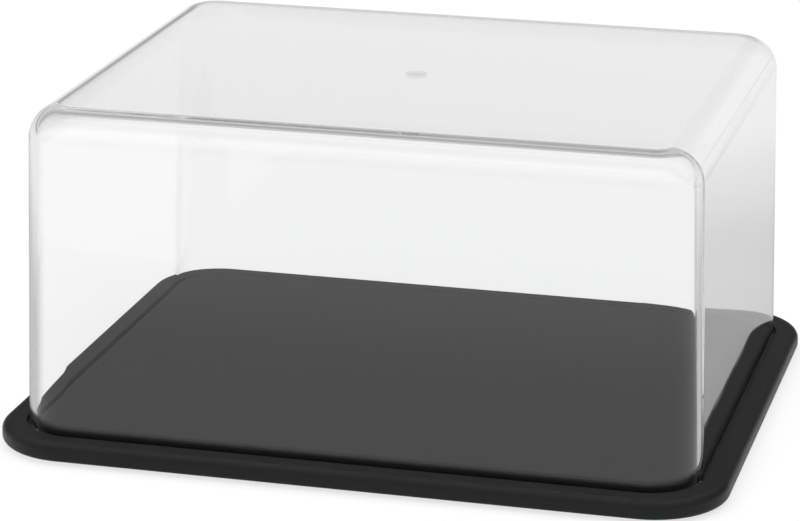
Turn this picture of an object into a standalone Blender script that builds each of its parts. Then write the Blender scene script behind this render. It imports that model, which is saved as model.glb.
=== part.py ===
# Cheese storage box: a dark moulded board that stands on four soft feet, and a clear
# rectangular cover that sits in a groove round the board's raised middle.
# Metres, +Z up. X runs along the long side, -Y is the front.
# The origin is at the middle of the footprint, on the surface that the box stands on.

import math

import bmesh
import bpy
from mathutils import Matrix

# Board
BOARD_LENGTH = 0.2535
BOARD_WIDTH = 0.210
BOARD_CORNER_RADIUS = 0.027
BOARD_THICKNESS = 0.0069
RIM_TOP_RADIUS = 0.0029
RIM_BOTTOM_RADIUS = 0.0024

# Raised middle, and the groove round it that takes the cover's rim
PLATEAU_HEIGHT = 0.0012
PLATEAU_EDGE_RADIUS = 0.0010
GROOVE_DEPTH = 0.0018
GROOVE_OUTER_CLEARANCE = 0.0009
GROOVE_INNER_CLEARANCE = 0.0014

# Underside
RECESS_DEPTH = 0.0020
RECESS_MARGIN = 0.0080
FOOT_POCKET_DEPTH = 0.0010
FOOT_CORNER_INSET = 0.0310

# Cover
COVER_MARGIN = 0.00915
COVER_HEIGHT = 0.112
COVER_CORNER_RADIUS = 0.019
COVER_TOP_EDGE_RADIUS = 0.0114
COVER_WALL = 0.0023
COVER_ROOF = 0.0028
COVER_OUTER_DRAFT = math.radians(1.45)
COVER_INNER_DRAFT = math.radians(1.70)
GATE_MARK_DIAMETER = 0.0080
GATE_MARK_DEPTH = 0.0004

# Feet
FOOT_DIAMETER = 0.0140
FOOT_STAND_OFF = 0.0010
FOOT_EDGE_RADIUS = 0.0008

# Fits
SEAT_GAP = 0.0003
POCKET_CLEARANCE = 0.0003
CUT_OVERRUN = 0.0040

# Fillets take at most this share of the wall that they round off
FILLET_LIMIT = 0.48
EDGE_LIMIT = 0.90

# Finishes: linear colour and roughness
BLACK_PLASTIC = ((0.022, 0.022, 0.023), 0.35)
CLEAR_PLASTIC = ((1.0, 1.0, 1.0), 0.0)
CLEAR_PLASTIC_IOR = 1.57
GREY_RUBBER = ((0.05, 0.05, 0.052), 0.75)

# Smoothness
CORNER_STEPS = 12
TOP_EDGE_STEPS = 6
RIM_STEPS = 4
FILLET_STEPS = 3
ROUND_STEPS = 40
CIRCULAR_PROFILE = 0.5
SMOOTH_ANGLE = math.radians(30.0)
MERGE = 0.00001

# Heights above the surface that the box stands on
UNDERSIDE_Z = FOOT_STAND_OFF
FLANGE_Z = UNDERSIDE_Z + BOARD_THICKNESS
PLATEAU_Z = FLANGE_Z + PLATEAU_HEIGHT
GROOVE_Z = FLANGE_Z - GROOVE_DEPTH
RECESS_Z = UNDERSIDE_Z + RECESS_DEPTH
POCKET_Z = RECESS_Z + FOOT_POCKET_DEPTH
WEB_Z = (RECESS_Z + GROOVE_Z) / 2
COVER_RIM_Z = GROOVE_Z + SEAT_GAP
COVER_TOP_Z = FLANGE_Z + COVER_HEIGHT
COVER_ROOF_Z = COVER_TOP_Z - COVER_ROOF

# Plan sizes that follow from the board and the cover
COVER_LENGTH = BOARD_LENGTH - 2 * COVER_MARGIN
COVER_WIDTH = BOARD_WIDTH - 2 * COVER_MARGIN
PLATEAU_MARGIN = COVER_WALL + GROOVE_INNER_CLEARANCE


def clear_scene():
    for thing in list(bpy.data.objects):
        bpy.data.objects.remove(thing, do_unlink=True)


def make_collection(name):
    collection = bpy.data.collections.new(name)
    bpy.context.scene.collection.children.link(collection)
    return collection


def make_material(name, finish):
    color, roughness = finish
    material = bpy.data.materials.new(name)
    material.use_nodes = True
    shader = material.node_tree.nodes["Principled BSDF"]
    shader.inputs["Base Color"].default_value = (*color, 1.0)
    shader.inputs["Roughness"].default_value = roughness
    shader.inputs["Metallic"].default_value = 0.0
    return material


def make_clear(material, ior):
    shader = material.node_tree.nodes["Principled BSDF"]
    shader.inputs["Transmission Weight"].default_value = 1.0
    shader.inputs["IOR"].default_value = ior


def make_object(name, bm, collection, material=None):
    bmesh.ops.recalc_face_normals(bm, faces=bm.faces)
    mesh = bpy.data.meshes.new(name)
    bm.to_mesh(mesh)
    bm.free()
    if material:
        mesh.materials.append(material)
    thing = bpy.data.objects.new(name, mesh)
    collection.objects.link(thing)
    return thing


def smooth(thing):
    thing.data.shade_smooth()
    thing.data.set_sharp_from_angle(angle=SMOOTH_ANGLE)


def level_edges(bm, z):
    """Edges of the mesh that lie at height z."""
    return [e for e in bm.edges if all(abs(v.co.z - z) < MERGE for v in e.verts)]


def round_edges(bm, edges, radius, steps):
    bmesh.ops.bevel(bm, geom=edges, offset=radius, offset_type="OFFSET", segments=steps,
                    profile=CIRCULAR_PROFILE, affect="EDGES", clamp_overlap=False)


def rounded_block(length, width, radius, low, high):
    """A block with rounded upright corners, from height low to height high."""
    bm = bmesh.new()
    bmesh.ops.create_cube(bm, size=1.0)
    size = Matrix.Diagonal((length, width, high - low, 1.0))
    lift = Matrix.Translation((0.0, 0.0, (low + high) / 2))
    bmesh.ops.transform(bm, matrix=lift @ size, verts=bm.verts)
    upright = [e for e in bm.edges if abs(e.verts[0].co.z - e.verts[1].co.z) > (high - low) / 2]
    round_edges(bm, upright, radius, CORNER_STEPS)
    return bm


def raise_with_draft(bm, base, height, draft):
    """Raise the flat top of a block, drawing its outline in evenly on every side."""
    top = [f for f in bm.faces if all(abs(v.co.z - base) < MERGE for v in f.verts)]
    bmesh.ops.inset_region(bm, faces=top, use_boundary=True, use_even_offset=True,
                           thickness=height * math.tan(draft), depth=height)


def cylinder(radius, low, high, x=0.0, y=0.0):
    bm = bmesh.new()
    bmesh.ops.create_cone(bm, cap_ends=True, segments=ROUND_STEPS, radius1=radius,
                          radius2=radius, depth=high - low)
    bmesh.ops.translate(bm, vec=(x, y, (low + high) / 2), verts=bm.verts)
    return bm


def make_cutter(name, bm, collection):
    cutter = make_object(name, bm, collection)
    cutter.hide_render = True
    cutter.display_type = "WIRE"
    return cutter


def combine(target, tool, operation):
    modifier = target.modifiers.new(tool.name, "BOOLEAN")
    modifier.operation = operation
    modifier.solver = "EXACT"
    modifier.object = tool


def foot_places():
    x = BOARD_LENGTH / 2 - FOOT_CORNER_INSET
    y = BOARD_WIDTH / 2 - FOOT_CORNER_INSET
    return {"front_left": (-x, -y), "front_right": (x, -y),
            "back_left": (-x, y), "back_right": (x, y)}


def make_board(parts, cutters, material):
    bm = rounded_block(BOARD_LENGTH, BOARD_WIDTH, BOARD_CORNER_RADIUS, UNDERSIDE_Z, FLANGE_Z)
    limit = BOARD_THICKNESS * FILLET_LIMIT
    round_edges(bm, level_edges(bm, FLANGE_Z), min(RIM_TOP_RADIUS, limit), RIM_STEPS)
    round_edges(bm, level_edges(bm, UNDERSIDE_Z), min(RIM_BOTTOM_RADIUS, limit), FILLET_STEPS)
    board = make_object("board", bm, parts, material)

    # The pocket runs from the groove's outer side right across; the raised middle then fills it
    pocket = rounded_block(COVER_LENGTH + 2 * GROOVE_OUTER_CLEARANCE,
                           COVER_WIDTH + 2 * GROOVE_OUTER_CLEARANCE,
                           COVER_CORNER_RADIUS + GROOVE_OUTER_CLEARANCE,
                           GROOVE_Z, FLANGE_Z + CUT_OVERRUN)
    combine(board, make_cutter("groove_pocket", pocket, cutters), "DIFFERENCE")

    middle = rounded_block(COVER_LENGTH - 2 * PLATEAU_MARGIN, COVER_WIDTH - 2 * PLATEAU_MARGIN,
                           COVER_CORNER_RADIUS - PLATEAU_MARGIN, WEB_Z, PLATEAU_Z)
    edge = min(PLATEAU_EDGE_RADIUS, (PLATEAU_Z - GROOVE_Z) * EDGE_LIMIT)
    round_edges(middle, level_edges(middle, PLATEAU_Z), edge, FILLET_STEPS)
    combine(board, make_cutter("raised_middle", middle, cutters), "UNION")

    recess = rounded_block(BOARD_LENGTH - 2 * RECESS_MARGIN, BOARD_WIDTH - 2 * RECESS_MARGIN,
                           BOARD_CORNER_RADIUS - RECESS_MARGIN,
                           UNDERSIDE_Z - CUT_OVERRUN, RECESS_Z)
    combine(board, make_cutter("underside_recess", recess, cutters), "DIFFERENCE")

    radius = FOOT_DIAMETER / 2 + POCKET_CLEARANCE
    for corner, (x, y) in foot_places().items():
        hole = cylinder(radius, UNDERSIDE_Z, POCKET_Z, x, y)
        combine(board, make_cutter("foot_pocket_" + corner, hole, cutters), "DIFFERENCE")
    smooth(board)


def cover_form(length, width, radius, rim, top, draft, edge_radius):
    """The cover's outer or inner form: an upright band up to the flange, then drafted walls."""
    bm = rounded_block(length, width, radius, rim, FLANGE_Z)
    rise = top - FLANGE_Z
    raise_with_draft(bm, FLANGE_Z, rise, draft)
    top_corner_radius = radius - rise * math.tan(draft)
    edge = min(edge_radius, top_corner_radius * EDGE_LIMIT)
    round_edges(bm, level_edges(bm, top), edge, TOP_EDGE_STEPS)
    return bm


def make_cover(parts, cutters, material):
    outer = cover_form(COVER_LENGTH, COVER_WIDTH, COVER_CORNER_RADIUS,
                       COVER_RIM_Z, COVER_TOP_Z, COVER_OUTER_DRAFT, COVER_TOP_EDGE_RADIUS)
    cover = make_object("cover", outer, parts, material)

    inner = cover_form(COVER_LENGTH - 2 * COVER_WALL, COVER_WIDTH - 2 * COVER_WALL,
                       COVER_CORNER_RADIUS - COVER_WALL, COVER_RIM_Z - CUT_OVERRUN,
                       COVER_ROOF_Z, COVER_INNER_DRAFT, COVER_TOP_EDGE_RADIUS - COVER_ROOF)
    combine(cover, make_cutter("cover_inside", inner, cutters), "DIFFERENCE")

    mark = cylinder(GATE_MARK_DIAMETER / 2,
                    COVER_ROOF_Z - CUT_OVERRUN, COVER_ROOF_Z + GATE_MARK_DEPTH)
    combine(cover, make_cutter("gate_mark", mark, cutters), "DIFFERENCE")
    smooth(cover)


def make_foot_mesh(material):
    """A soft round foot, turned from its profile, with its underside at height 0."""
    radius = FOOT_DIAMETER / 2
    height = POCKET_Z - SEAT_GAP
    edge = min(FOOT_EDGE_RADIUS, FOOT_STAND_OFF * EDGE_LIMIT)
    angles = [math.pi / 2 * step / FILLET_STEPS for step in range(FILLET_STEPS + 1)]
    arc = [(radius - edge * (1 - math.cos(a)), edge * (1 - math.sin(a))) for a in angles]
    profile = [(0.0, height), (radius, height)] + arc + [(0.0, 0.0)]
    bm = bmesh.new()
    verts = [bm.verts.new((x, 0.0, z)) for x, z in profile]
    for a, b in zip(verts, verts[1:]):
        bm.edges.new((a, b))
    mesh = bpy.data.meshes.new("foot")
    bm.to_mesh(mesh)
    bm.free()
    mesh.materials.append(material)
    return mesh


def make_feet(parts, material):
    mesh = make_foot_mesh(material)
    for corner, (x, y) in foot_places().items():
        foot = bpy.data.objects.new("foot_" + corner, mesh)
        foot.location = (x, y, 0.0)
        parts.objects.link(foot)
        turn = foot.modifiers.new("turn", "SCREW")
        turn.steps = ROUND_STEPS
        turn.render_steps = ROUND_STEPS
        turn.use_merge_vertices = True
        turn.merge_threshold = MERGE
        turn.use_smooth_shade = False


def main():
    clear_scene()
    parts = make_collection("cheese_storage_box")
    cutters = make_collection("cutters")
    board_plastic = make_material("board_plastic", BLACK_PLASTIC)
    clear_plastic = make_material("clear_plastic", CLEAR_PLASTIC)
    make_clear(clear_plastic, CLEAR_PLASTIC_IOR)
    foot_rubber = make_material("foot_rubber", GREY_RUBBER)
    make_board(parts, cutters, board_plastic)
    make_cover(parts, cutters, clear_plastic)
    make_feet(parts, foot_rubber)


main()
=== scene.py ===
import math

import bpy
from mathutils import Matrix, Vector


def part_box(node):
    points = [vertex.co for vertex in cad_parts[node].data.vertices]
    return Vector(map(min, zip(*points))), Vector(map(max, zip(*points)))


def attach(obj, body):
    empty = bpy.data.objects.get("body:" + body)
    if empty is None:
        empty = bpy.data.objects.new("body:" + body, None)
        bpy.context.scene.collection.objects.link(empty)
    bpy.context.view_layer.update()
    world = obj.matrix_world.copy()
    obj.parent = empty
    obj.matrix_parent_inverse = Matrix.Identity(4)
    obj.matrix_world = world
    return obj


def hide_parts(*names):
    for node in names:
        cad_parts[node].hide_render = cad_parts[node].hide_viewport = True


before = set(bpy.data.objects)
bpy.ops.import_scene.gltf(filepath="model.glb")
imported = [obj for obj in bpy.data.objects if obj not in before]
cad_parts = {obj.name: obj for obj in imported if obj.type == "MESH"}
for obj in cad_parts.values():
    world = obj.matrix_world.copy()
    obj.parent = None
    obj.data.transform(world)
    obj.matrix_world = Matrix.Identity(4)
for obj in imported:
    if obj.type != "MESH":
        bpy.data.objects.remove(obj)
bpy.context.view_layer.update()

# Cheese storage box: a clear moulded cover on a black moulded board with four soft feet.
# Metres, +Z up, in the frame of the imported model. The front is towards -Y.

scene = bpy.context.scene
mm = 0.001
print("frame loaded:", ", ".join(sorted(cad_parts)))


def grey(level):
    return (level, level, level, 1.0)


# Wires and graphs: node trees written as Python expressions

class Wire:
    # One output socket. Arithmetic on it adds Math nodes to its tree.
    def __init__(self, graph, socket):
        self.graph = graph
        self.socket = socket

    def other(self, name):  # another output of the same node
        return Wire(self.graph, self.socket.node.outputs[name])

    def __add__(self, value):
        return self.graph.math("ADD", self, value)

    def __radd__(self, value):
        return self.graph.math("ADD", value, self)

    def __sub__(self, value):
        return self.graph.math("SUBTRACT", self, value)

    def __rsub__(self, value):
        return self.graph.math("SUBTRACT", value, self)

    def __mul__(self, value):
        return self.graph.math("MULTIPLY", self, value)

    def __rmul__(self, value):
        return self.graph.math("MULTIPLY", value, self)

    def __truediv__(self, value):
        return self.graph.math("DIVIDE", self, value)

    def __mod__(self, value):
        return self.graph.math("MODULO", self, value)


class Graph:
    def __init__(self, tree):
        self.tree = tree
        tree.nodes.clear()

    def node(self, kind, settings=None, inputs=None, output=0):
        made = self.tree.nodes.new(kind)
        for name, value in (settings or {}).items():
            if name == "stops":
                self.setStops(made.color_ramp, value)
            else:
                setattr(made, name, value)
        for name, value in (inputs or {}).items():
            self.plug(made.inputs[name], value)
        return Wire(self, made.outputs[output]) if made.outputs else made

    def setStops(self, colourRamp, stops):
        while len(colourRamp.elements) < len(stops):
            colourRamp.elements.new(0.5)
        for element, (place, level) in zip(colourRamp.elements, stops):
            element.position = place
            element.color = grey(level)

    def plug(self, socket, value):
        if isinstance(value, Wire):
            self.tree.links.new(value.socket, socket)
        else:
            socket.default_value = value

    def math(self, operation, *values):
        return self.node("ShaderNodeMath", {"operation": operation}, dict(enumerate(values)))

    def mix(self, factor, first, second, blend="MIX"):
        return self.node("ShaderNodeMix", {"data_type": "RGBA", "blend_type": blend},
                         {"Factor": factor, "A": first, "B": second}, output=2)

    def mixShader(self, factor, first, second):
        return self.node("ShaderNodeMixShader", inputs={0: factor, 1: first, 2: second})

    def fade(self, value, start, end):  # 0 at start and 1 at end, smooth between
        return self.node("ShaderNodeMapRange", {"interpolation_type": "SMOOTHSTEP"},
                         {"Value": value, "From Min": start, "From Max": end,
                          "To Min": 0.0, "To Max": 1.0})

    def ramp(self, value, stops):  # straight lines between stops given as (value, result)
        low, high = stops[0][0], stops[-1][0]
        return self.node("ShaderNodeValToRGB",
                         {"stops": [((at - low) / (high - low), level) for at, level in stops]},
                         {0: (value - low) / (high - low)})

    def noise(self, place, scale, detail, roughness=0.5):
        return self.node("ShaderNodeTexNoise", inputs={"Vector": place, "Scale": scale,
                                                       "Detail": detail, "Roughness": roughness})

    def bump(self, height, depth, strength=1.0):
        return self.node("ShaderNodeBump", inputs={"Height": height, "Distance": depth,
                                                   "Strength": strength})

    def toned(self, colour, tone):  # a colour made lighter or darker by a number
        shade = self.node("ShaderNodeCombineColor", inputs={0: tone, 1: tone, 2: tone})
        return self.mix(1.0, colour, shade, "MULTIPLY")


# Outlines and stations: a rounded rectangle, and the rings that a moulded skin runs through

class Outline:
    def __init__(self, halfLength, halfWidth, cornerRadius):
        self.sizes = (halfLength, halfWidth, cornerRadius)

    def ring(self, inset, height):  # the outline drawn in by inset, at a height
        return tuple(size - inset for size in self.sizes) + (height,)

    def arc(self, inset, height, radius, start, end, steps):
        # A fillet about a centre. 0 degrees faces straight out, 90 degrees straight up.
        turns = [math.radians(start + (end - start) * step / steps) for step in range(steps + 1)]
        return [self.ring(inset - radius * math.cos(a), height + radius * math.sin(a))
                for a in turns]


def circle(radius, height):
    return (radius, radius, radius, height)


# Geometry trees: named inputs at the start, one painted shape at the end

def startTree(name, inputs):
    tree = bpy.data.node_groups.new(name, "GeometryNodeTree")
    for label, kind in inputs.items():
        tree.interface.new_socket(label, in_out="INPUT", socket_type="NodeSocket" + kind)
    tree.interface.new_socket("Shape", in_out="OUTPUT", socket_type="NodeSocketGeometry")
    g = Graph(tree)
    given = g.node("NodeGroupInput")
    return g, [given.other(label) for label in inputs]


def endTree(g, shape, material):
    real = g.node("GeometryNodeRealizeInstances", inputs={"Geometry": shape})
    painted = g.node("GeometryNodeSetMaterial", inputs={"Geometry": real, "Material": material})
    g.node("NodeGroupOutput", inputs={"Shape": painted})
    return g.tree


def loftTree():
    # Skins a row of stations, each a rounded rectangle. The guide mesh holds one point a station.
    g, (guide, steps, support, material) = startTree(
        "roundedLoft", {"Guide": "Geometry", "Corner Steps": "Int", "Support": "Float",
                        "Material": "Material"})
    hair = 0.01         # keeps whole numbers clear of rounding
    weld = 0.002 * mm

    stations = g.node("GeometryNodeAttributeDomainSize", inputs={"Geometry": guide},
                      output="Point Count")
    perCorner = steps + 3  # the arc's points, and one support point on the straight at each end
    grid = g.node("GeometryNodeMeshGrid",
                  inputs={"Size X": 1.0, "Size Y": 1.0,
                          "Vertices X": perCorner * 4 + 1, "Vertices Y": stations})
    index = g.node("GeometryNodeInputIndex")
    column = g.math("FLOOR", index / stations)
    row = index % stations
    corner = g.math("FLOOR", (column + hair) / perCorner) % 4
    place = (column + hair) % perCorner - hair
    step = g.math("MINIMUM", g.math("MAXIMUM", place - 1, 0.0), steps)
    turn = (corner + step / steps) * (math.pi / 2)
    middle = (corner + 0.5) * (math.pi / 2)

    def read(name):
        value = g.node("GeometryNodeInputNamedAttribute", {"data_type": "FLOAT"}, {"Name": name})
        return g.node("GeometryNodeSampleIndex", {"data_type": "FLOAT", "domain": "POINT"},
                      {"Geometry": guide, "Value": value, "Index": row})

    halfLength, halfWidth = read("halfLength"), read("halfWidth")
    radius, height = read("cornerRadius"), read("height")
    flatX, flatY = halfLength - radius, halfWidth - radius
    slack = g.math("MINIMUM", support, g.math("MINIMUM", flatX, flatY))
    slide = (place - 1 - step) * g.math("MAXIMUM", slack, 0.0)
    cosine, sine = g.math("COSINE", turn), g.math("SINE", turn)
    x = g.math("SIGN", g.math("COSINE", middle)) * flatX + radius * cosine - slide * sine
    y = g.math("SIGN", g.math("SINE", middle)) * flatY + radius * sine + slide * cosine
    position = g.node("ShaderNodeCombineXYZ", inputs={"X": x, "Y": y, "Z": height})
    placed = g.node("GeometryNodeSetPosition", inputs={"Geometry": grid, "Position": position})
    closed = g.node("GeometryNodeMergeByDistance", inputs={"Geometry": placed, "Distance": weld})
    smooth = g.node("GeometryNodeSetShadeSmooth", inputs={"Geometry": closed})
    return endTree(g, smooth, material)


loftNodes = loftTree()


def setInputs(modifier, values):  # by socket identifier, before the object is first evaluated
    sockets = {s.name: s.identifier for s in modifier.node_group.interface.items_tree
               if s.in_out == "INPUT"}
    for name, value in values.items():
        modifier[sockets[name]] = value


def fillSlots(mesh):  # drops empty material slots, and gives their faces the first real one
    slots = list(mesh.materials)
    filled = [slot for slot in slots if slot]
    where = [0] * len(mesh.polygons)
    mesh.polygons.foreach_get("material_index", where)
    where = [filled.index(slots[index]) if slots[index] else 0 for index in where]
    mesh.materials.clear()
    for slot in filled:
        mesh.materials.append(slot)
    mesh.polygons.foreach_set("material_index", where)


def settle(name, source):
    # The evaluated object as a plain mesh at the origin, without the object it came from.
    bpy.context.view_layer.update()
    ready = source.evaluated_get(bpy.context.evaluated_depsgraph_get())
    mesh = bpy.data.meshes.new_from_object(ready)
    mesh.name = name
    bpy.data.objects.remove(source)
    fillSlots(mesh)
    made = bpy.data.objects.new(name, mesh)
    scene.collection.objects.link(made)
    return made


def loft(name, stations, values, material):
    guide = bpy.data.meshes.new(name + "Guide")
    guide.from_pydata([(0.0, 0.0, s[3]) for s in stations], [], [])
    for index, field in enumerate(("halfLength", "halfWidth", "cornerRadius", "height")):
        layer = guide.attributes.new(field, "FLOAT", "POINT")
        layer.data.foreach_set("value", [s[index] for s in stations])
    holder = bpy.data.objects.new(name + "Source", guide)
    scene.collection.objects.link(holder)
    modifier = holder.modifiers.new("loft", "NODES")
    modifier.node_group = loftNodes
    setInputs(modifier, {"Corner Steps": values["cornerSteps"], "Support": values["support"],
                         "Material": material})
    made = settle(name, holder)
    print(name + ":", len(stations), "stations,", len(made.data.polygons), "faces")
    return made


# Materials

def newMaterial(name):
    material = bpy.data.materials.new(name)
    material.use_nodes = True
    return material, Graph(material.node_tree)


blackPlastic = {
    "colour": (0.0040, 0.0040, 0.0042, 1.0),
    "toneDrift": 0.16,          # slow change of colour over the board, lowest to highest
    "specular": 0.22,
    "ior": 1.5,
    "roughness": 0.44,
    "roughnessDrift": 0.10,     # slow change of gloss, lowest to highest
    "driftScale": 14.0,         # patches a metre
    "driftDetail": 3.0,
    "driftRoughness": 0.55,
    "grainScale": 2600.0,       # spark-eroded grain, per metre
    "grainDetail": 2.0,
    "grainRoughness": 0.6,
    "grainHeight": 0.004 * mm,
    "grainStrength": 0.35,
}


def makeBlackPlastic(values):
    material, g = newMaterial("blackMouldedPlastic")
    place = g.node("ShaderNodeTexCoord", output="Object")
    drift = g.noise(place, values["driftScale"], values["driftDetail"], values["driftRoughness"])
    grain = g.noise(place, values["grainScale"], values["grainDetail"], values["grainRoughness"])
    roughness = values["roughness"] + (drift - 0.5) * values["roughnessDrift"]
    tone = 1 + (drift - 0.5) * values["toneDrift"]
    bump = g.bump(grain, values["grainHeight"], values["grainStrength"])
    shader = g.node("ShaderNodeBsdfPrincipled",
                    inputs={"Base Color": g.toned(values["colour"], tone), "Roughness": roughness,
                            "Normal": bump, "Specular IOR Level": values["specular"],
                            "IOR": values["ior"]})
    g.node("ShaderNodeOutputMaterial", inputs={"Surface": shader})
    return material


clearPlastic = {
    "tint": (0.978, 0.980, 0.980, 1.0),
    "ior": 1.53,
    "waveScale": 22.0,          # slow ripples of a moulded wall, per metre
    "waveDetail": 1.0,
    "waveHeight": 0.030 * mm,
    # Painted-out reflection: a patch on the flat of the left wall where most of the glass mirrors
    # nothing, in a lighter tint.
    "quietX": (-0.108, -0.1115),    # the flat of the left wall mirrors little, from edge to full
    "quietY": (0.079, 0.073),
    "quietZ": (0.108, 0.102),
    "quietShare": 0.85,
    "quietTint": (0.9885, 0.9895, 0.9895, 1.0),
    "markAt": (1.1 * mm, -6.7 * mm),    # moulding mark near the middle of the roof, a little greyer
    "markRadius": 4.6 * mm,
    "markEdge": 1.5 * mm,
    "markDepth": 0.3,           # as a share of the ripples' height
    "markTint": (0.74, 0.74, 0.74, 1.0),
    "passingTint": (0.95, 0.955, 0.955, 1.0),   # for shadow, diffuse and dull mirrored rays
}


def makeClearPlastic(values):
    material, g = newMaterial("clearMouldedPlastic")
    place = g.node("ShaderNodeTexCoord", output="Object")
    x = g.node("ShaderNodeSeparateXYZ", inputs={0: place}, output="X")
    y, z = x.other("Y"), x.other("Z")

    markX, markY = values["markAt"]
    across, along = x - markX, y - markY
    reach = g.math("SQRT", across * across + along * along)
    mark = g.fade(reach, values["markRadius"], values["markRadius"] - values["markEdge"])
    wave = g.noise(place, values["waveScale"], values["waveDetail"])
    bump = g.bump(wave - mark * values["markDepth"], values["waveHeight"])
    glass = g.node("ShaderNodeBsdfPrincipled",
                   inputs={"Base Color": g.mix(mark, values["tint"], values["markTint"]),
                           "Roughness": 0.0, "IOR": values["ior"],
                           "Transmission Weight": 1.0, "Normal": bump})
    quietGlass = g.node("ShaderNodeBsdfRefraction",
                        inputs={"Color": values["quietTint"], "Roughness": 0.0,
                                "IOR": values["ior"], "Normal": bump})
    passing = g.node("ShaderNodeBsdfTransparent", inputs={"Color": values["passingTint"]})

    ray = g.node("ShaderNodeLightPath", output="Is Shadow Ray")
    dull = ray.other("Is Glossy Ray") * (1 - ray.other("Is Singular Ray"))
    passes = g.math("MAXIMUM", ray, g.math("MAXIMUM", ray.other("Is Diffuse Ray"), dull))
    straight = g.math("LESS_THAN", ray.other("Glossy Depth"), 0.5)
    # Painted-out reflection on the left wall's flat, for rays not yet mirrored.
    quiet = (g.fade(x, *values["quietX"]) * g.fade(g.math("ABSOLUTE", y), *values["quietY"])
             * g.fade(z, *values["quietZ"]) * values["quietShare"] * straight)
    wall = g.mixShader(quiet, glass, quietGlass)
    g.node("ShaderNodeOutputMaterial", inputs={"Surface": g.mixShader(passes, wall, passing)})
    return material


softRubber = {
    "colour": (0.045, 0.045, 0.047, 1.0),
    "toneDrift": 0.2,
    "ior": 1.45,
    "roughness": 0.80,
    "grainScale": 1800.0,
    "grainDetail": 3.0,
    "grainHeight": 0.02 * mm,
    "grainStrength": 0.6,
}


def makeSoftRubber(values):
    material, g = newMaterial("softGreyRubber")
    place = g.node("ShaderNodeTexCoord", output="Object")
    grain = g.noise(place, values["grainScale"], values["grainDetail"])
    tone = 1 + (grain - 0.5) * values["toneDrift"]
    bump = g.bump(grain, values["grainHeight"], values["grainStrength"])
    shader = g.node("ShaderNodeBsdfPrincipled",
                    inputs={"Base Color": g.toned(values["colour"], tone),
                            "Roughness": values["roughness"], "Normal": bump,
                            "IOR": values["ior"]})
    g.node("ShaderNodeOutputMaterial", inputs={"Surface": shader})
    return material


# Board

board = {
    "cornerRadius": 27.0 * mm,
    "rimTopRadius": 2.9 * mm,
    "rimTopSteps": 16,
    "rimBottomRadius": 2.4 * mm,
    "rimBottomSteps": 12,
    "plateauHeight": 1.2 * mm,
    "plateauEdge": 1.0 * mm,
    "plateauSteps": 10,
    "plateauMargin": 3.7 * mm,      # inside the cover's outer wall
    "grooveDepth": 1.8 * mm,
    "grooveClearance": 0.9 * mm,    # outside the cover's outer wall
    "grooveLip": 0.35 * mm,         # small radius on the flange's inner edge
    "grooveRoot": 0.30 * mm,
    "grooveSteps": 5,
    "recessDepth": 2.0 * mm,
    "recessMargin": 8.0 * mm,
    "recessEdge": 0.5 * mm,
    "recessSteps": 4,
    "pocketDepth": 1.0 * mm,
    "pocketClearance": 0.3 * mm,
    "pocketSides": 64,
    "sharpAngle": 50,               # degrees, past which an edge of the board stays sharp
    "cornerSteps": 40,
    "support": 0.2 * mm,
}

boardLow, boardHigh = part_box("board")
coverLow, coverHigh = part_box("cover")
footLow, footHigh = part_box("foot_front_left")
footX, footY = abs(footLow.x + footHigh.x) / 2, abs(footLow.y + footHigh.y) / 2
footRadius = (footHigh.x - footLow.x) / 2

plateauZ = boardHigh.z
flangeZ = plateauZ - board["plateauHeight"]
grooveZ = flangeZ - board["grooveDepth"]
undersideZ = boardLow.z
recessZ = undersideZ + board["recessDepth"]


def boardStations(b, rimLine, coverLine):
    # From the middle of the recess underneath, round the rim and the groove, to the raised middle.
    low, rim = b["rimBottomRadius"], b["rimTopRadius"]
    lip, root, edge = b["grooveLip"], b["grooveRoot"], b["plateauEdge"]
    recess, pinch, near = b["recessMargin"], b["recessEdge"], b["support"]
    outer, inner = -b["grooveClearance"], b["plateauMargin"]
    rows = [circle(0.0, recessZ), rimLine.ring(recess + pinch + near, recessZ)]
    rows += rimLine.arc(recess + pinch, recessZ - pinch, pinch, 90, 0, b["recessSteps"])
    rows += rimLine.arc(recess - pinch, undersideZ + pinch, pinch, 180, 270, b["recessSteps"])
    rows += [rimLine.ring(low + near, undersideZ)]
    rows += rimLine.arc(low, undersideZ + low, low, -90, 0, b["rimBottomSteps"])
    rows += rimLine.arc(rim, flangeZ - rim, rim, 0, 90, b["rimTopSteps"])
    rows += [rimLine.ring(rim + near, flangeZ), coverLine.ring(outer - lip - near, flangeZ)]
    rows += coverLine.arc(outer - lip, flangeZ - lip, lip, 90, 180, b["grooveSteps"])
    rows += coverLine.arc(outer + root, grooveZ + root, root, 0, -90, b["grooveSteps"])
    rows += [coverLine.ring(outer + root + near, grooveZ)]
    rows += [coverLine.ring(inner - root - near, grooveZ)]
    rows += coverLine.arc(inner - root, grooveZ + root, root, 270, 180, b["grooveSteps"])
    rows += coverLine.arc(inner + edge, plateauZ - edge, edge, 0, 90, b["plateauSteps"])
    rows += [coverLine.ring(inner + edge + near, plateauZ), circle(0.0, plateauZ)]
    return rows


def cutPockets(name, blank, b):
    # Round pockets under the board, one for each foot.
    cutters = []
    top = recessZ + b["pocketDepth"]
    for signX in (-1, 1):
        for signY in (-1, 1):
            bpy.ops.mesh.primitive_cylinder_add(vertices=b["pocketSides"],
                                                radius=footRadius + b["pocketClearance"], depth=top,
                                                location=(signX * footX, signY * footY, top / 2))
            cutter = bpy.context.object
            cutters.append(cutter)
            modifier = blank.modifiers.new("pocket", "BOOLEAN")
            modifier.operation = "DIFFERENCE"
            modifier.object = cutter
    made = settle(name, blank)
    made.data.set_sharp_from_angle(angle=math.radians(b["sharpAngle"]))
    for cutter in cutters:
        bpy.data.objects.remove(cutter)
    return made


# Cover

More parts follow.
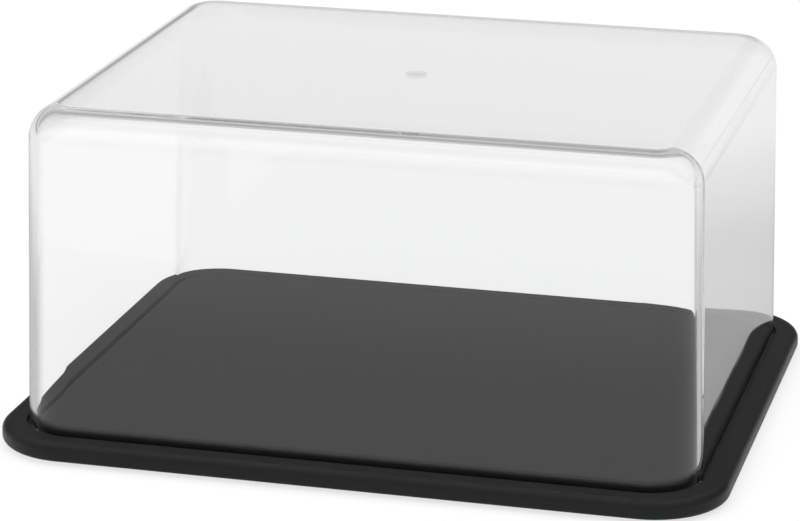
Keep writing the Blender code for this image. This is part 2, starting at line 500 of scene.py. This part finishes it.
cover = {
    "cornerRadius": 19.0 * mm,
    "topEdge": 11.4 * mm,           # how far the top edge's rounding reaches down the wall
    "wall": 2.3 * mm,
    "roof": 2.8 * mm,
    "outerDraft": 1.45,             # degrees
    "innerDraft": 1.70,
    "draftStep": 0.3 * mm,          # rows below and above the flange's level, where the draft begins
    "rimEdge": 0.35 * mm,
    "rimSteps": 5,
    "cornerSteps": 48,
    "edgeSteps": 32,
    "support": 0.2 * mm,
}

boardOutline = Outline(boardHigh.x, boardHigh.y, board["cornerRadius"])
coverOutline = Outline(coverHigh.x, coverHigh.y, cover["cornerRadius"])


def coverForm(c, inset, rimZ, topZ, draft, reach):
    # The drafted wall and rounded top edge of the outer or the inner skin, from rim to roof.
    radius = reach * math.tan(math.radians(90 + draft) / 2)
    lean = math.tan(math.radians(draft))
    centreInset = inset + (topZ - flangeZ) * lean + reach
    bendZ = topZ - radius + radius * math.sin(math.radians(draft)) - c["support"]
    return [coverOutline.ring(inset, rimZ),
            coverOutline.ring(inset, flangeZ - c["draftStep"]),
            coverOutline.ring(inset + c["draftStep"] * lean, flangeZ + c["draftStep"]),
            coverOutline.ring(inset + (bendZ - flangeZ) * lean, bendZ),
            *coverOutline.arc(centreInset, topZ - radius, radius, draft, 90, c["edgeSteps"]),
            coverOutline.ring(centreInset + c["support"], topZ)]


def coverStations(c):
    # From the middle of the roof's inside, down and round the rim, to the middle of its outside.
    topZ, roofZ = coverHigh.z, coverHigh.z - c["roof"]
    edge, steps = c["rimEdge"], c["rimSteps"]
    rimZ = coverLow.z + edge
    inner = coverForm(c, c["wall"], rimZ, roofZ, c["innerDraft"], c["topEdge"] - c["roof"])
    outer = coverForm(c, 0.0, rimZ, topZ, c["outerDraft"], c["topEdge"])
    return [circle(0.0, roofZ), *reversed(inner),
            *coverOutline.arc(c["wall"] - edge, rimZ, edge, 180, 270, steps)[1:],
            *coverOutline.arc(edge, rimZ, edge, -90, 0, steps)[:-1],
            *outer, circle(0.0, topZ)]


# Feet

foot = {
    "edge": 0.8 * mm,
    "edgeSteps": 8,
    "topEdge": 0.2 * mm,
    "dishRadius": 4.2 * mm,         # shallow hollow in the sole
    "dishDepth": 0.25 * mm,
    "dishForm": [(0.7, 1.0), (0.9, 0.75), (1.0, 0.25), (1.06, 0.0)],    # shares of both
    "cornerSteps": 14,
    "support": 0.0,
}


def footStations(f):
    edge, top = f["edge"], footHigh.z
    line = Outline(footRadius, footRadius, footRadius)
    return [circle(0.0, f["dishDepth"]),
            *[circle(f["dishRadius"] * wide, f["dishDepth"] * deep) for wide, deep in f["dishForm"]],
            *line.arc(edge, edge, edge, -90, 0, f["edgeSteps"]),
            line.ring(0.0, top - f["topEdge"]), line.ring(f["topEdge"], top), circle(0.0, top)]


def footTree():
    # Copies the foot to the corners of a rectangle.
    g, (oneFoot, along, across, material) = startTree(
        "footSet", {"Foot": "Geometry", "Spacing Along": "Float", "Spacing Across": "Float",
                    "Material": "Material"})
    corners = g.node("GeometryNodeMeshGrid", inputs={"Size X": along, "Size Y": across,
                                                     "Vertices X": 2, "Vertices Y": 2})
    copies = g.node("GeometryNodeInstanceOnPoints", inputs={"Points": corners, "Instance": oneFoot})
    return endTree(g, copies, material)


# The three pieces

boardBlank = loft("mouldedBoardBlank", boardStations(board, boardOutline, coverOutline), board,
                  makeBlackPlastic(blackPlastic))
mouldedBoard = cutPockets("mouldedBoard", boardBlank, board)
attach(mouldedBoard, "base")
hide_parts("board")

rubber = makeSoftRubber(softRubber)
oneFoot = loft("oneFoot", footStations(foot), foot, rubber)
feetModifier = oneFoot.modifiers.new("feet", "NODES")
feetModifier.node_group = footTree()
setInputs(feetModifier, {"Spacing Along": 2 * footX, "Spacing Across": 2 * footY,
                         "Material": rubber})
softFeet = settle("softFeet", oneFoot)
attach(softFeet, "base")
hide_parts("foot_front_left", "foot_front_right", "foot_back_left", "foot_back_right")
print("feet:", len(softFeet.data.polygons), "faces")

clearCover = loft("clearCover", coverStations(cover), cover, makeClearPlastic(clearPlastic))
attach(clearCover, "lid")
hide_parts("cover")


# Studio: pale floor, soft light, white background

# What gloss shows over the top of the box: degrees from the front horizon, and the level there.
overhead = [(0, 0.60), (22, 0.74), (34, 1.15), (58, 1.15), (66, 0.30), (95, 0.30), (98, 1.1),
            (102, 1.1), (105, 0.40), (150, 0.45), (163, 0.61)]

studio = {
    # what lights plain surfaces: degrees above the horizon, in front and at the sides, and behind
    "plainSides": [(0, 0.75), (25, 0.80), (50, 1.2), (62, 1.5), (90, 1.55)],
    "plainBehind": [(0, 0.14), (22, 0.20), (38, 0.55), (55, 1.2), (62, 1.5), (90, 1.55)],
    "behindFade": (0.1, 0.6),
    # what gloss shows down to the back horizon, and the same on the left, darker low behind
    "glossArch": overhead + [(168, 0.82), (172, 0.80), (180, 0.85)],
    "leftArch": overhead + [(167.5, 0.80), (170.5, 0.38), (177, 0.33), (179, 0.75), (180, 0.90)],
    "leftFade": (0.05, -0.10),
    # what clear plastic shows through itself, same angles
    "clearArch": [(0, 0.9), (20, 0.8), (60, 0.4), (120, 0.4), (150, 0.45), (163, 0.62), (175, 0.9),
                  (180, 1.0)],
    # what gloss shows of the floor, by distance from the cover's walls, with painted shade: darker
    # nearer the walls
    "mirroredFloorShade": [(0.0, 0.40), (0.02, 0.54), (0.14, 0.56), (0.22, 0.70), (0.32, 0.84), (0.45, 0.84)],
    "floorSize": 8.0,
    "floorDrop": 0.1 * mm,
    "floorColour": 0.95,
    "floorShade": 0.30,         # share of the floor's own light and shadow that is seen
}

softbox = {
    "place": (0.0, -1.5, 0.9),
    "aim": (0.0, 0.0, 0.1),
    "size": (1.8, 1.2),
    "strength": 1.2,
}


def rayMasks(g):
    # Camera rays, sharp rays that a surface mirrored, and rays that only passed through clear plastic.
    ray = g.node("ShaderNodeLightPath", output="Is Camera Ray")
    sharp = ray.other("Is Singular Ray")
    turned = g.math("GREATER_THAN", ray.other("Glossy Depth"), 0.5)
    return ray, sharp * turned, sharp * (1 - turned)


def makeWorld(values):
    world = bpy.data.worlds.new("studio")
    scene.world = world
    world.use_nodes = True
    g = Graph(world.node_tree)
    camera, glossy, transmission = rayMasks(g)
    direction = g.node("ShaderNodeTexCoord", output="Generated")
    z = g.node("ShaderNodeSeparateXYZ", inputs={0: direction}, output="Z")
    x, y = z.other("X"), z.other("Y")

    degrees = 180 / math.pi
    hair = 0.01     # keeps the division clear of zero
    rise = g.math("ARCSINE", z) * degrees
    flat = g.math("MAXIMUM", g.math("COSINE", rise / degrees), hair)
    plain = g.mix(g.fade(y / flat, *values["behindFade"]), g.ramp(rise, values["plainSides"]),
                  g.ramp(rise, values["plainBehind"]))
    arch = g.math("ARCTAN2", z, y * -1) * degrees
    mirrored = g.mix(g.fade(x, *values["leftFade"]), g.ramp(arch, values["glossArch"]),
                     g.ramp(arch, values["leftArch"]))
    light = g.mix(glossy, plain, mirrored)
    light = g.mix(transmission, light, g.ramp(arch, values["clearArch"]))
    light = g.mix(camera, light, grey(1.0))
    background = g.node("ShaderNodeBackground", inputs={"Color": light, "Strength": 1.0})
    g.node("ShaderNodeOutputWorld", inputs={"Surface": background})


def makeFloor(values):
    bpy.ops.mesh.primitive_plane_add(size=values["floorSize"],
                                     location=(0.0, 0.0, -values["floorDrop"]))
    floor = bpy.context.object
    floor.name = "floor"
    material, g = newMaterial("paleFloor")
    camera, glossy, transmission = rayMasks(g)
    place = g.node("ShaderNodeTexCoord", output="Object")
    x = g.node("ShaderNodeSeparateXYZ", inputs={0: place}, output="X")
    beside = g.math("MAXIMUM", g.math("ABSOLUTE", x) - coverHigh.x, 0.0)
    before = g.math("MAXIMUM", g.math("ABSOLUTE", x.other("Y")) - coverHigh.y, 0.0)
    away = g.math("SQRT", beside * beside + before * before)

    pale = g.node("ShaderNodeBsdfDiffuse", inputs={"Color": grey(values["floorColour"])})
    white = g.node("ShaderNodeEmission", inputs={"Color": grey(1.0), "Strength": 1.0})
    # Painted shade: the floor that gloss shows glows darker near the cover, by distance alone.
    mirrored = g.node("ShaderNodeEmission",
                      inputs={"Color": g.ramp(away, values["mirroredFloorShade"]), "Strength": 1.0})
    direct = g.math("MAXIMUM", camera, transmission) * (1 - values["floorShade"])
    surface = g.mixShader(glossy, g.mixShader(direct, pale, white), mirrored)
    g.node("ShaderNodeOutputMaterial", inputs={"Surface": surface})
    floor.data.materials.append(material)


def addSoftbox(values):
    lamp = bpy.data.lights.new("frontSoftbox", "AREA")
    lamp.shape = "RECTANGLE"
    lamp.size, lamp.size_y = values["size"]
    lamp.energy = values["strength"] * math.pi * lamp.size * lamp.size_y
    thing = bpy.data.objects.new("frontSoftbox", lamp)
    scene.collection.objects.link(thing)
    thing.location = values["place"]
    aim = Vector(values["aim"]) - Vector(values["place"])
    thing.rotation_euler = aim.to_track_quat("-Z", "Y").to_euler()
    thing.visible_camera = False
    thing.visible_glossy = False
    thing.visible_transmission = False


makeWorld(studio)
makeFloor(studio)
addSoftbox(softbox)
print("studio ready")


# Camera: the photograph's own view, fitted to the box's outlines

view = {
    "sensor": 36.0,             # mm across
    "lens": 149.277,            # mm
    "azimuth": 14.5121,         # degrees round to the right of the front
    "elevation": 17.3886,       # degrees above the level
    "roll": 0.2494,             # degrees
    "place": (0.276793, -1.093309, 0.402747),
    "clip": (0.01, 50.0),
}


def makeCamera(values):
    camera = bpy.data.cameras.new("photoView")
    camera.sensor_width = values["sensor"]
    camera.sensor_fit = "HORIZONTAL"
    camera.lens = values["lens"]
    camera.clip_start, camera.clip_end = values["clip"]
    azimuth, elevation = math.radians(values["azimuth"]), math.radians(values["elevation"])
    forward = Vector((-math.sin(azimuth) * math.cos(elevation),
                      math.cos(azimuth) * math.cos(elevation), -math.sin(elevation)))
    level = Vector((math.cos(azimuth), math.sin(azimuth), 0.0))
    roll = Matrix.Rotation(-math.radians(values["roll"]), 3, forward)
    right = roll @ level
    up = right.cross(forward)
    axes = Matrix((right, up, -forward)).transposed()
    thing = bpy.data.objects.new("photoView", camera)
    scene.collection.objects.link(thing)
    thing.matrix_world = Matrix.Translation(values["place"]) @ axes.to_4x4()
    scene.camera = thing


makeCamera(view)
scene.view_settings.view_transform = "Standard"
bounces = 128                   # light runs far along inside the plastic
scene.cycles.max_bounces = bounces
scene.cycles.glossy_bounces = bounces
scene.cycles.transmission_bounces = bounces
scene.cycles.transparent_max_bounces = 24
